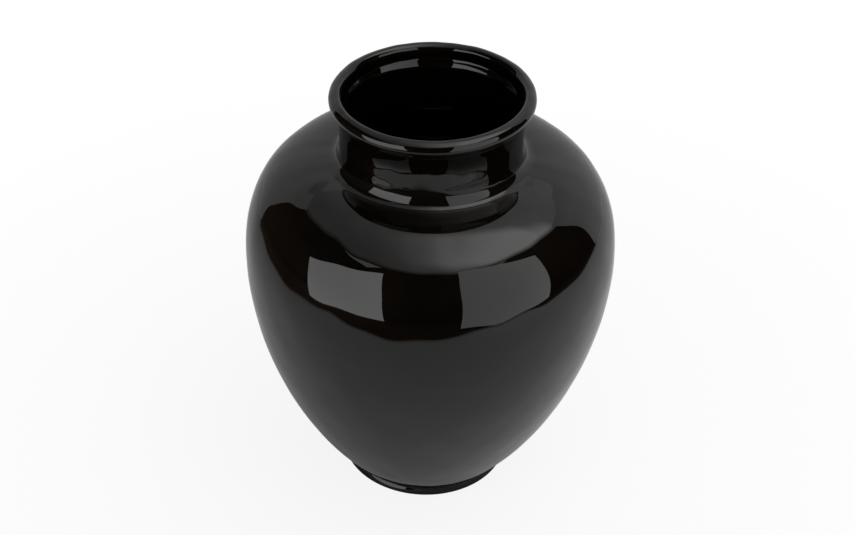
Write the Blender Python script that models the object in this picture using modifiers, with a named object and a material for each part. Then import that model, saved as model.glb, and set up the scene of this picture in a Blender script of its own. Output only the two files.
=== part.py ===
"""A glazed stoneware vase: an ovoid body on a low foot, a short waisted neck and a rolled lip.

The pot is thrown in sections, luted with slip, glazed and fired. Foot ring, lower body, upper body,
neck collar and rim roll are clay, four seams are slip, and three coats are glaze. Every piece is
turned, so each is an outline in the plane of radius and height that a Screw modifier carries round Z.
Metres, +Z up, with the origin at the middle of the standing face. The fired pot has no moving piece.
"""

import math

import bpy
import numpy as np

OBJECT_NAME = "ovoid_glazed_vase"

# Finished sizes over the glaze, from the foot upwards
FOOT_RADIUS = 0.0598
FOOT_TAPER = 0.0014
FOOT_HEIGHT = 0.0052
LOWER_BODY_HEIGHT = 0.1732
BELLY_RADIUS = 0.1240
UPPER_BODY_HEIGHT = 0.0726
NECK_RADIUS = 0.0591
COVE_WIDTH = 0.0090
COVE_HEIGHT = 0.0130
NECK_WALL_HEIGHT = 0.0245
NECK_FLARE = 0.0028
LIP_RISE = 0.0064
LIP_OVERHANG = 0.0065
LIP_ROLL_RADIUS = 0.0051
LIP_CREST_RADIUS = 0.0026
LIP_BEVEL_INSET = 0.0035
LIP_BEVEL_DROP = 0.0055
FUNNEL_INSET = 0.0047
FUNNEL_DROP = 0.0107

# Curves: directions and lengths of the handles that draw them
FOOT_FLARE_ANGLE = math.radians(49.6)
FOOT_FLARE_PULL = 0.0634
BELLY_PULL_DOWN = 0.0579
BELLY_PULL_UP = 0.0492
SHOULDER_PULL = 0.0323
SHOULDER_SLOPE = math.radians(3.9)
COVE_PULL_OUT = 0.0062
COVE_PULL_UP = 0.0092
NECK_TAPER = math.radians(1.5)
NECK_PULL_UP = 0.0130
NECK_FLARE_ANGLE = math.radians(74.0)
NECK_FLARE_PULL = 0.0080
LIP_ROLL_START = math.radians(-60.0)
LIP_BEVEL_SLOPE = math.radians(50.0)
LIP_BEVEL_PULL = 0.0022
GROOVE_SLOPE = math.radians(85.0)
FUNNEL_SLOPE = math.radians(57.0)
FUNNEL_PULL = 0.0015
THROAT_TOP_PULL = 0.0045
THROAT_PULL = 0.0180

# Clay, coats and joints
WALL_THICKNESS = 0.0044
FLOOR_THICKNESS = 0.0083
FLOOR_CORNER_RISE = 0.0120
FLOOR_PULL = 0.0295
FOOT_RING_WIDTH = 0.0085
FOOT_EDGE_CHAMFER = 0.0008
GLAZE_THICKNESS = 0.0006
GLAZE_STOP_HEIGHT = 0.0005
SLIP_THICKNESS = 0.0006
LAP_DEPTH = 0.0030
BELLY_JOINT_BELOW_BELLY = 0.0250
NECK_JOINT_RISE = 0.0030
CLEARANCE = 0.0003

# Fineness of the turned surfaces
TURN_STEPS = 32
LOWER_BODY_STEPS = 6
UPPER_BODY_STEPS = 6
COVE_STEPS = 3
NECK_STEPS = 3
LIP_STEPS = 6
LIP_CREST_STEPS = 3
LIP_BEVEL_STEPS = 3
FUNNEL_STEPS = 2
THROAT_STEPS = 4
FLOOR_STEPS = 3
MERGE_DISTANCE = 0.00001

# Heights and radii that follow from the sizes above
BELLY_HEIGHT = FOOT_HEIGHT + LOWER_BODY_HEIGHT
SHOULDER_HEIGHT = BELLY_HEIGHT + UPPER_BODY_HEIGHT
FOOT_TOP_RADIUS = FOOT_RADIUS - FOOT_TAPER
SHOULDER_RADIUS = NECK_RADIUS + COVE_WIDTH
WAIST_HEIGHT = SHOULDER_HEIGHT + COVE_HEIGHT
NECK_TOP_HEIGHT = WAIST_HEIGHT + NECK_WALL_HEIGHT
LIP_CENTRE_HEIGHT = NECK_TOP_HEIGHT + LIP_RISE
LIP_CENTRE_RADIUS = NECK_RADIUS + LIP_OVERHANG - LIP_ROLL_RADIUS
LIP_CREST_HEIGHT = LIP_CENTRE_HEIGHT + LIP_ROLL_RADIUS
GROOVE_HEIGHT = LIP_CREST_HEIGHT - LIP_BEVEL_DROP
COAT = GLAZE_THICKNESS + CLEARANCE
SEAM = SLIP_THICKNESS + 2 * CLEARANCE
FULL_WALL = WALL_THICKNESS + 2 * COAT
FLOOR_UNDERSIDE = FOOT_HEIGHT + SEAM
FLOOR_HEIGHT = FLOOR_UNDERSIDE + FLOOR_THICKNESS + COAT
FOOT_OUTER_RADIUS = FOOT_RADIUS - COAT
FOOT_INNER_RADIUS = FOOT_OUTER_RADIUS - FOOT_RING_WIDTH
BELLY_JOINT_HEIGHT = BELLY_HEIGHT - BELLY_JOINT_BELOW_BELLY
NECK_JOINT_HEIGHT = SHOULDER_HEIGHT + NECK_JOINT_RISE
RIM_JOINT_HEIGHT = NECK_TOP_HEIGHT - SEAM

# Colour, roughness and metallic value of each finish
CLAY_FINISH = ((0.30, 0.24, 0.19), 0.85, 0.0)
SLIP_FINISH = ((0.38, 0.32, 0.26), 0.90, 0.0)
GLAZE_FINISH = ((0.006, 0.005, 0.0045), 0.04, 0.0)


def bezier(start, start_handle, end_handle, end, steps):
    """Points of a cubic curve, without its first point, which the stretch before it holds."""
    t = np.linspace(0.0, 1.0, steps + 1)[1:, None]
    corners = [np.asarray(point, float) for point in (start, start_handle, end_handle, end)]
    weights = ((1 - t) ** 3, 3 * t * (1 - t) ** 2, 3 * t * t * (1 - t), t**3)
    return sum(weight * corner for weight, corner in zip(weights, corners))


def arc(centre, radius, first_angle, last_angle, steps):
    """Points of a circular arc, both ends included."""
    angle = np.linspace(first_angle, last_angle, steps + 1)
    return np.column_stack((centre[0] + radius * np.cos(angle), centre[1] + radius * np.sin(angle)))


def inset(line, depth):
    """The line moved by depth to its left, which is into the clay, with mitred corners."""
    run = np.diff(line, axis=0)
    run /= np.linalg.norm(run, axis=1)[:, None]
    left = np.column_stack((-run[:, 1], run[:, 0]))
    before = np.vstack((left[:1], left))
    after = np.vstack((left, left[-1:]))
    mitre = (before + after) / (1 + np.sum(before * after, axis=1))[:, None]
    return line + depth * mitre


def climbing(line):
    """The line from its low end to its high end."""
    return line if line[-1, 1] > line[0, 1] else line[::-1]


def radius_at(line, height):
    """Radius of a line at one height."""
    climb = climbing(line)
    return np.interp(height, climb[:, 1], climb[:, 0])


def between(line, low, high):
    """The stretch of a line between two heights, cut square at both, going the way the line goes."""
    climb = climbing(line)
    ends = np.array([(radius_at(line, height), height) for height in (low, high)])
    inner = climb[(climb[:, 1] > low + MERGE_DISTANCE) & (climb[:, 1] < high - MERGE_DISTANCE)]
    stretch = np.vstack((ends[:1], inner, ends[1:]))
    return stretch if climb is line else stretch[::-1]


def outside_stretch():
    """Sloping foot wall, swelling body and cove, from the standing face up to the waist of the neck."""
    foot = np.array([(FOOT_RADIUS, 0.0), (FOOT_TOP_RADIUS, FOOT_HEIGHT)])
    flare = (math.cos(FOOT_FLARE_ANGLE), math.sin(FOOT_FLARE_ANGLE))
    lower = bezier(
        foot[-1],
        (FOOT_TOP_RADIUS + FOOT_FLARE_PULL * flare[0], FOOT_HEIGHT + FOOT_FLARE_PULL * flare[1]),
        (BELLY_RADIUS, BELLY_HEIGHT - BELLY_PULL_DOWN),
        (BELLY_RADIUS, BELLY_HEIGHT),
        LOWER_BODY_STEPS,
    )
    slope = (math.cos(SHOULDER_SLOPE), math.sin(SHOULDER_SLOPE))
    upper = bezier(
        lower[-1],
        (BELLY_RADIUS, BELLY_HEIGHT + BELLY_PULL_UP),
        (SHOULDER_RADIUS + SHOULDER_PULL * slope[0], SHOULDER_HEIGHT - SHOULDER_PULL * slope[1]),
        (SHOULDER_RADIUS, SHOULDER_HEIGHT),
        UPPER_BODY_STEPS,
    )
    taper = (math.sin(NECK_TAPER), math.cos(NECK_TAPER))
    cove = bezier(
        upper[-1],
        (SHOULDER_RADIUS - COVE_PULL_OUT * slope[0], SHOULDER_HEIGHT + COVE_PULL_OUT * slope[1]),
        (NECK_RADIUS + COVE_PULL_UP * taper[0], WAIST_HEIGHT - COVE_PULL_UP * taper[1]),
        (NECK_RADIUS, WAIST_HEIGHT),
        COVE_STEPS,
    )
    return np.vstack((foot, lower, upper, cove))


def neck_stretch():
    """Neck wall up to the crease under the lip, narrowing a little before it flares."""
    top_radius = NECK_RADIUS + NECK_FLARE
    taper = (math.sin(NECK_TAPER), math.cos(NECK_TAPER))
    lean = (math.cos(NECK_FLARE_ANGLE), math.sin(NECK_FLARE_ANGLE))
    return bezier(
        (NECK_RADIUS, WAIST_HEIGHT),
        (NECK_RADIUS - NECK_PULL_UP * taper[0], WAIST_HEIGHT + NECK_PULL_UP * taper[1]),
        (top_radius - NECK_FLARE_PULL * lean[0], NECK_TOP_HEIGHT - NECK_FLARE_PULL * lean[1]),
        (top_radius, NECK_TOP_HEIGHT),
        NECK_STEPS,
    )


def down(slope):
    """Direction of a wall that falls inwards at an angle below the horizontal."""
    return -np.array((math.cos(slope), math.sin(slope)))


def throat_stretch(wall_top):
    """Inner side of the lip and neck: rounded crest, bevel, groove, funnel and upright wall."""
    crest = arc(
        (LIP_CENTRE_RADIUS, LIP_CREST_HEIGHT - LIP_CREST_RADIUS),
        LIP_CREST_RADIUS,
        math.pi / 2,
        math.pi / 2 + LIP_BEVEL_SLOPE,
        LIP_CREST_STEPS,
    )
    groove = np.array((LIP_CENTRE_RADIUS - LIP_BEVEL_INSET, GROOVE_HEIGHT))
    bevel = bezier(
        crest[-1],
        crest[-1] + LIP_BEVEL_PULL * down(LIP_BEVEL_SLOPE),
        groove - LIP_BEVEL_PULL * down(GROOVE_SLOPE),
        groove,
        LIP_BEVEL_STEPS,
    )
    middle = np.array((LIP_CENTRE_RADIUS - FUNNEL_INSET, LIP_CREST_HEIGHT - FUNNEL_DROP))
    funnel = bezier(
        groove,
        groove + LIP_BEVEL_PULL * down(GROOVE_SLOPE),
        middle - FUNNEL_PULL * down(FUNNEL_SLOPE),
        middle,
        FUNNEL_STEPS,
    )
    wall = bezier(
        middle,
        middle + THROAT_TOP_PULL * down(FUNNEL_SLOPE),
        wall_top + (0.0, THROAT_PULL),
        wall_top,
        THROAT_STEPS,
    )
    return np.vstack((crest, bevel, funnel, wall))


def inside_stretch(body):
    """Throat, inner wall and floor, from the crest of the lip down to the axis."""
    hollow = inset(body, FULL_WALL)[::-1]
    wall = between(hollow, FLOOR_HEIGHT + FLOOR_CORNER_RISE, hollow[0, 1])
    foot_of_wall = wall[-1]
    run = wall[-1] - wall[-2]
    corner = foot_of_wall + run * (FLOOR_HEIGHT - foot_of_wall[1]) / run[1]
    floor = bezier(foot_of_wall, corner, (FLOOR_PULL, FLOOR_HEIGHT), (0.0, FLOOR_HEIGHT), FLOOR_STEPS)
    return np.vstack((throat_stretch(hollow[0]), wall[1:], floor))


def finished_lines():
    """The glazed surface as two lines: up the outside to the lip's crest, and from there down inside."""
    body = outside_stretch()
    roll = arc(
        (LIP_CENTRE_RADIUS, LIP_CENTRE_HEIGHT), LIP_ROLL_RADIUS, LIP_ROLL_START, math.pi / 2, LIP_STEPS
    )
    return np.vstack((body, neck_stretch(), roll)), inside_stretch(body)


def inset_both(outside, inside, depth):
    """Both lines moved into the clay together, so that they still meet at the crest of the lip."""
    moved = inset(np.vstack((outside, inside[1:])), depth)
    moved[-1, 0] = 0.0
    return moved[: len(outside)], moved[len(outside) - 1 :]


def make_finish(name, finish):
    """A material of one colour."""
    colour, roughness, metallic = finish
    material = bpy.data.materials.new(name)
    material.use_nodes = True
    shader = material.node_tree.nodes["Principled BSDF"]
    shader.inputs["Base Color"].default_value = (*colour, 1.0)
    shader.inputs["Roughness"].default_value = roughness
    shader.inputs["Metallic"].default_value = metallic
    return material


def turn(name, outline, finish, collection):
    """A turned piece from its outline, which is left open where both its ends lie on the axis."""
    outline = np.asarray(outline, float)
    radius, height = outline.T
    area = np.sum(radius * np.roll(height, -1) - np.roll(radius, -1) * height)
    if area > 0:
        outline = outline[::-1]
    on_axis = np.flatnonzero(outline[:, 0] < MERGE_DISTANCE)
    count = len(outline)
    edges = [(i, (i + 1) % count) for i in range(count)]
    if len(on_axis) == 2:
        first, second = (int(i) for i in on_axis)
        edges.remove((first, second) if second == first + 1 else (second, first))
    mesh = bpy.data.meshes.new(name)
    mesh.from_pydata([(r, 0.0, z) for r, z in outline.tolist()], edges, [])
    piece = bpy.data.objects.new(name, mesh)
    collection.objects.link(piece)
    mesh.materials.append(make_finish(name + "_finish", finish))
    screw = piece.modifiers.new("turn", "SCREW")
    screw.axis = "Z"
    screw.angle = 2 * math.pi
    screw.steps = TURN_STEPS
    screw.render_steps = TURN_STEPS
    screw.use_merge_vertices = True
    screw.merge_threshold = MERGE_DISTANCE
    screw.use_smooth_shade = True
    return piece


def foot_ring(clay_outside):
    """Ring that the pot stands on, with its outer lower edge taken off."""
    wall = between(clay_outside, FOOT_EDGE_CHAMFER, FOOT_HEIGHT)
    return [
        (FOOT_INNER_RADIUS, 0.0),
        (FOOT_OUTER_RADIUS - FOOT_EDGE_CHAMFER, 0.0),
        *wall,
        (FOOT_INNER_RADIUS, FOOT_HEIGHT),
    ]


def foot_slip_seam(clay_outside):
    """Flat ring of slip between the foot ring and the floor of the body."""
    low = FOOT_HEIGHT + CLEARANCE
    high = low + SLIP_THICKNESS
    return [(FOOT_INNER_RADIUS, low), *between(clay_outside, low, high), (FOOT_INNER_RADIUS, high)]


class Lap:
    """A joint in which one half of the wall's thickness steps up or down past the other half."""

    def __init__(self, outer_line, inner_line, outer_height, inner_height):
        self.lines = (climbing(outer_line), climbing(inner_line))
        self.heights = (outer_height, inner_height)
        self.middle = (radius_at(outer_line, outer_height) + radius_at(inner_line, inner_height)) / 2
        self.step_side = math.copysign(1.0, inner_height - outer_height)

    def face(self, shift):
        """The stepped face at a distance from the lower piece, from the outer line to the inner one."""
        outer_line, inner_line = self.lines
        outer_height, inner_height = (height + shift for height in self.heights)
        step = self.middle + self.step_side * shift
        return [
            (radius_at(outer_line, outer_height), outer_height),
            (step, outer_height),
            (step, inner_height),
            (radius_at(inner_line, inner_height), inner_height),
        ]

    def top_of_lower_piece(self):
        """Face of the piece below, from the outside in."""
        return self.face(0.0)

    def bottom_of_upper_piece(self):
        """Face of the piece above, from the outside in."""
        return self.face(SEAM)

    def seam(self):
        """Outline of the slip between the two faces."""
        outer_line, inner_line = self.lines
        lower_face = self.face(CLEARANCE)
        upper_face = self.face(CLEARANCE + SLIP_THICKNESS)
        outer_edge = between(outer_line, lower_face[0][1], upper_face[0][1])
        inner_edge = between(inner_line, lower_face[-1][1], upper_face[-1][1])
        return [*lower_face, *inner_edge[1:-1], *upper_face[::-1], *outer_edge[-2:0:-1]]


def lower_body(clay_outside, clay_inside, belly_lap):
    """Floor and wall up to the belly joint."""
    face = belly_lap.top_of_lower_piece()
    return [
        (0.0, FLOOR_UNDERSIDE),
        *between(clay_outside, FLOOR_UNDERSIDE, face[0][1])[:-1],
        *face,
        *between(clay_inside, clay_inside[-1, 1], face[-1][1])[1:],
    ]


def upper_body(clay_outside, clay_inside, belly_lap, neck_lap):
    """Wall above the belly joint and the shoulder, up to the neck joint."""
    bottom = belly_lap.bottom_of_upper_piece()
    top = neck_lap.top_of_lower_piece()
    return [
        *bottom[::-1],
        *between(clay_outside, bottom[0][1], top[0][1])[1:-1],
        *top,
        *between(clay_inside, bottom[-1][1], top[-1][1])[1:-1],
    ]


def neck_collar(clay_outside, clay_inside, neck_lap):
    """Cove and flared wall of the neck, from the neck joint up to the rim joint."""
    bottom = neck_lap.bottom_of_upper_piece()
    return [
        *bottom[::-1],
        *between(clay_outside, bottom[0][1], RIM_JOINT_HEIGHT)[1:],
        *between(clay_inside, bottom[-1][1], RIM_JOINT_HEIGHT)[:-1],
    ]


def rim_slip_seam(clay_outside, clay_inside):
    """Flat ring of slip between the neck collar and the rolled lip."""
    low = RIM_JOINT_HEIGHT + CLEARANCE
    high = low + SLIP_THICKNESS
    return [*between(clay_outside, low, high), *between(clay_inside, low, high)]


def rim_roll(clay_outside, clay_inside):
    """Rolled lip, flat underneath where it is luted to the collar."""
    crest = clay_outside[-1, 1]
    return [
        *between(clay_outside, NECK_TOP_HEIGHT, crest)[:-1],
        *between(clay_inside, NECK_TOP_HEIGHT, crest),
    ]


def outer_glaze(finished, backed):
    """Coat from just above the standing face, over the body, neck and lip, to the groove inside the lip."""
    skin = [
        *between(finished[0], GLAZE_STOP_HEIGHT, finished[0][-1, 1]),
        *between(finished[1], GROOVE_HEIGHT, finished[1][0, 1])[1:],
    ]
    back = [
        *between(backed[0], GLAZE_STOP_HEIGHT, backed[0][-1, 1]),
        *between(backed[1], GROOVE_HEIGHT, backed[1][0, 1])[1:],
    ]
    return [*skin, *back[::-1]]


def liner_glaze(finished, backed):
    """Coat over the throat, the inner wall and the floor."""
    top = GROOVE_HEIGHT - CLEARANCE
    skin = between(finished[1], finished[1][-1, 1], top)
    back = between(backed[1], backed[1][-1, 1], top)
    return [*skin, *back[::-1]]


def base_glaze():
    """Coat under the floor and down the inner side of the foot ring, stopping short of the standing face."""
    outer_radius = FOOT_INNER_RADIUS - CLEARANCE
    inner_radius = outer_radius - GLAZE_THICKNESS
    top = FLOOR_UNDERSIDE - CLEARANCE
    return [
        (0.0, top),
        (outer_radius, top),
        (outer_radius, GLAZE_STOP_HEIGHT),
        (inner_radius, GLAZE_STOP_HEIGHT),
        (inner_radius, top - GLAZE_THICKNESS),
        (0.0, top - GLAZE_THICKNESS),
    ]


def main():
    """Clear the scene and build the vase from its foot upwards."""
    for old in list(bpy.data.objects):
        bpy.data.objects.remove(old, do_unlink=True)
    collection = bpy.data.collections.new(OBJECT_NAME)
    bpy.context.scene.collection.children.link(collection)

    finished = finished_lines()
    backed = inset_both(*finished, GLAZE_THICKNESS)
    clay = inset_both(*finished, COAT)
    belly_lap = Lap(*clay, BELLY_JOINT_HEIGHT, BELLY_JOINT_HEIGHT + LAP_DEPTH)
    neck_lap = Lap(*clay, NECK_JOINT_HEIGHT, NECK_JOINT_HEIGHT - LAP_DEPTH)

    clay_pieces = {
        "foot_ring": foot_ring(clay[0]),
        "lower_body": lower_body(*clay, belly_lap),
        "upper_body": upper_body(*clay, belly_lap, neck_lap),
        "neck_collar": neck_collar(*clay, neck_lap),
        "rim_roll": rim_roll(*clay),
    }
    slip_pieces = {
        "foot_slip_seam": foot_slip_seam(clay[0]),
        "belly_slip_seam": belly_lap.seam(),
        "neck_slip_seam": neck_lap.seam(),
        "rim_slip_seam": rim_slip_seam(*clay),
    }
    glaze_pieces = {
        "outer_glaze": outer_glaze(finished, backed),
        "liner_glaze": liner_glaze(finished, backed),
        "base_glaze": base_glaze(),
    }
    batches = ((clay_pieces, CLAY_FINISH), (slip_pieces, SLIP_FINISH), (glaze_pieces, GLAZE_FINISH))
    for pieces, finish in batches:
        for name, outline in pieces.items():
            turn(name, outline, finish, collection)


main()
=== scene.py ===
"""Looks of an ovoid black-glazed vase: a fine turned skin of glaze over its clay, in a small studio."""

import logging
import math
from dataclasses import dataclass, field
from enum import Enum

import bpy
import numpy as np
from mathutils import Matrix, Vector


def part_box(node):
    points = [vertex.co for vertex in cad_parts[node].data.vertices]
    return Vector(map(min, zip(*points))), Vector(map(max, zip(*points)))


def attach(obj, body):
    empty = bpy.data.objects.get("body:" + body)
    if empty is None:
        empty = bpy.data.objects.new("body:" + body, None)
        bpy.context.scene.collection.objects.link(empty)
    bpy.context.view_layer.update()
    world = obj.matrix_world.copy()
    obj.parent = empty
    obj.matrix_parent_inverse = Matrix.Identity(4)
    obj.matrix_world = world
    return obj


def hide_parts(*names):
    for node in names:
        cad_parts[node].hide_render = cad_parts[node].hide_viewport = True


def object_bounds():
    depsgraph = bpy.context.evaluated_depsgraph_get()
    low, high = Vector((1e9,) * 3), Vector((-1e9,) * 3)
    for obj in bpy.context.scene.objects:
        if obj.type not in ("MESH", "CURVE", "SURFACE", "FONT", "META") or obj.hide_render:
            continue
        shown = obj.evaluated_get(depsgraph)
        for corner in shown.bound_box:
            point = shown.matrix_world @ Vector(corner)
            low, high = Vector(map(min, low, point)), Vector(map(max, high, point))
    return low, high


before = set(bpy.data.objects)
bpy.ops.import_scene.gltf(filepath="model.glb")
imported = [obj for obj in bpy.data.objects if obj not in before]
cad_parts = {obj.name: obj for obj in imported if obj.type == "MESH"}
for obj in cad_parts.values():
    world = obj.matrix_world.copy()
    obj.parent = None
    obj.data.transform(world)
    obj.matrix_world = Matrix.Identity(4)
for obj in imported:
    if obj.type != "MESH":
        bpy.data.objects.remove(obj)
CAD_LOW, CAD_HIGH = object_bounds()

LOG = logging.getLogger("vase")
BODY = "root"
PHOTO_WIDTH = 855
MERGE_DISTANCE = 0.00001
EDGE = "edge"

Line = np.ndarray


class Slot(Enum):
    """Material slots of the record."""

    CLAY = "stoneware"
    SLIP = "slip"
    GLAZE = "black_glaze"


# Lines in the plane of radius and height


def bezier(start: Line, start_handle: Line, end_handle: Line, end: Line, steps: int) -> Line:
    """Cubic curve: each point is the four corners weighted by the Bernstein polynomials of t.

    Args:
        start: first corner, as radius and height in metres.
        start_handle: second corner, which sets the direction at the start.
        end_handle: third corner, which sets the direction at the end.
        end: last corner.
        steps: number of chords.

    Returns:
        The points, both ends included.
    """
    t = np.linspace(0.0, 1.0, steps + 1)[:, None]
    weights = ((1 - t) ** 3, 3 * t * (1 - t) ** 2, 3 * t**2 * (1 - t), t**3)
    corners = (start, start_handle, end_handle, end)
    return sum(weight * np.asarray(corner, float) for weight, corner in zip(weights, corners))


def arc(centre: tuple[float, float], radius: float, first: float, last: float, steps: int) -> Line:
    """Circular arc: centre plus radius times the cosine and sine of an even run of angles.

    Args:
        centre: radius and height of the centre.
        radius: radius of the arc.
        first: angle of the first point in radians.
        last: angle of the last point in radians.
        steps: number of chords.

    Returns:
        The points, both ends included.
    """
    angle = np.linspace(first, last, steps + 1)
    return np.column_stack((centre[0] + radius * np.cos(angle), centre[1] + radius * np.sin(angle)))


def trimmed(line: Line, reach: float) -> Line:
    """The line shortened at its end by a length measured along it.

    Args:
        line: points of the line.
        reach: length to take off.

    Returns:
        The shorter line, ending on an interpolated point.
    """
    along = np.concatenate(([0.0], np.cumsum(np.linalg.norm(np.diff(line, axis=0), axis=1))))
    stop = along[-1] - reach
    last = [np.interp(stop, along, line[:, axis]) for axis in (0, 1)]
    return np.vstack((line[along < stop - MERGE_DISTANCE], last))


def eased(first: Line, second: Line, reach: float, steps: int) -> Line:
    """Two lines that meet at a corner, joined by a parabola that starts and ends at reach from it.

    Args:
        first: line that ends at the corner.
        second: line that starts there.
        reach: length of each line that the parabola takes up.
        steps: number of chords in the parabola.

    Returns:
        One line.
    """
    before = trimmed(first, reach)
    after = trimmed(second[::-1], reach)[::-1]
    corner = first[-1]
    t = np.linspace(0.0, 1.0, steps + 1)[1:-1, None]
    bend = (1 - t) ** 2 * before[-1] + 2 * t * (1 - t) * corner + t**2 * after[0]
    return np.vstack((before, bend, after))


def inset(line: Line, depth: float) -> Line:
    """The line moved to its left, into the clay: each point moves by depth along its mitred normal.

    Args:
        line: points of the line.
        depth: distance to move.

    Returns:
        The moved points, as many as before.
    """
    run = np.diff(line, axis=0)
    run = run / np.linalg.norm(run, axis=1)[:, None]
    left = np.column_stack((-run[:, 1], run[:, 0]))
    before = np.vstack((left[:1], left))
    after = np.vstack((left, left[-1:]))
    mitre = (before + after) / (1 + np.sum(before * after, axis=1))[:, None]
    return line + depth * mitre


def climbing(line: Line) -> Line:
    """The line from its low end to its high end."""
    return line if line[-1, 1] > line[0, 1] else line[::-1]


def radius_at(line: Line, height: float) -> float:
    """Radius of a line at one height."""
    climb = climbing(line)
    return float(np.interp(height, climb[:, 1], climb[:, 0]))


def between(line: Line, low: float, high: float) -> Line:
    """The stretch of a line between two heights, cut square at both, going the way the line goes.

    Args:
        line: a line that climbs or falls all the way.
        low: lower height.
        high: upper height.

    Returns:
        The stretch, with its cut ends.
    """
    climb = climbing(line)
    ends = np.array([(radius_at(line, height), height) for height in (low, high)])
    inner = climb[(climb[:, 1] > low + MERGE_DISTANCE) & (climb[:, 1] < high - MERGE_DISTANCE)]
    stretch = np.vstack((ends[:1], inner, ends[1:]))
    return stretch if climb is line else stretch[::-1]


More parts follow.
